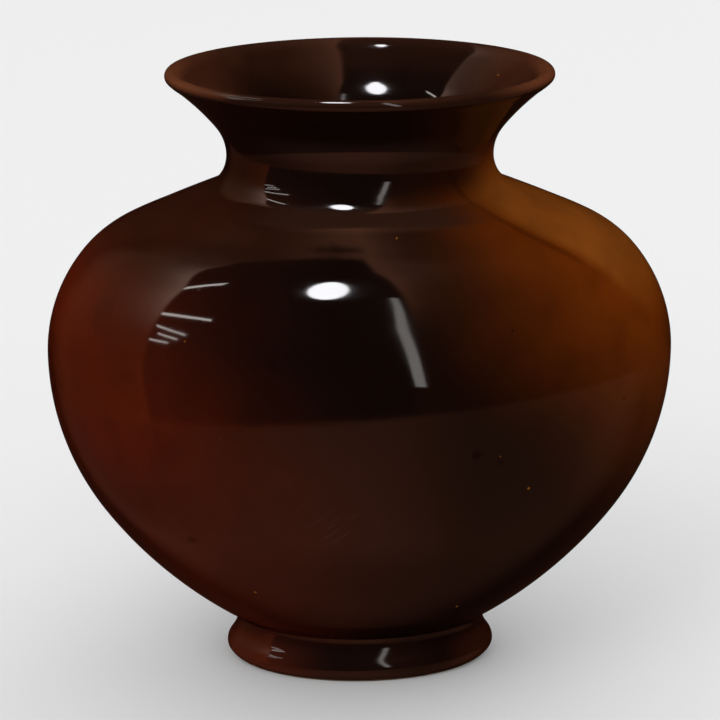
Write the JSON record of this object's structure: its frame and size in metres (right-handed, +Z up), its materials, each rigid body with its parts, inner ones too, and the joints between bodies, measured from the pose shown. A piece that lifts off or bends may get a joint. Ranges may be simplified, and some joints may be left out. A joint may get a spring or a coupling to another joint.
{
  "type": "art pottery vase",
  "caption": "Glazed pottery vase of flattened oval form with a wide belly, small roll foot, drawn-in neck and flared mouth, to hold flowers or stand as an ornament.",
  "frame": {"origin": "centre of the dry ring that the vase stands on, on the vase's axis", "axes": "+Z up along the axis of the vase; X is the wide way across the oval; -Y is the front, the side that the picture shows, and +X is on the viewer's right"},
  "size_m": [0.1504, 0.0858, 0.152],
  "materials": {
    "clay": "fired buff clay, dry and fine-grained",
    "joint_slip": "fired luting slip, dry",
    "ground_coat": "sprayed coloured slip, blended from red-brown through near-black to amber",
    "outer_glaze": "high-gloss clear brown glaze over the coloured ground",
    "inner_glaze": "high-gloss brown glaze",
    "base_glaze": "thin gloss brown glaze"
  },
  "bodies": {
    "root": {"foot_ring": "clay", "foot_joint_slip": "joint_slip", "lower_body": "clay", "belly_joint_slip": "joint_slip", "upper_body": "clay", "neck_joint_slip": "joint_slip", "neck_collar": "clay", "ground_coat": "ground_coat", "outer_glaze": "outer_glaze", "inner_glaze": "inner_glaze", "base_glaze": "base_glaze"}
  },
  "joints": []
}
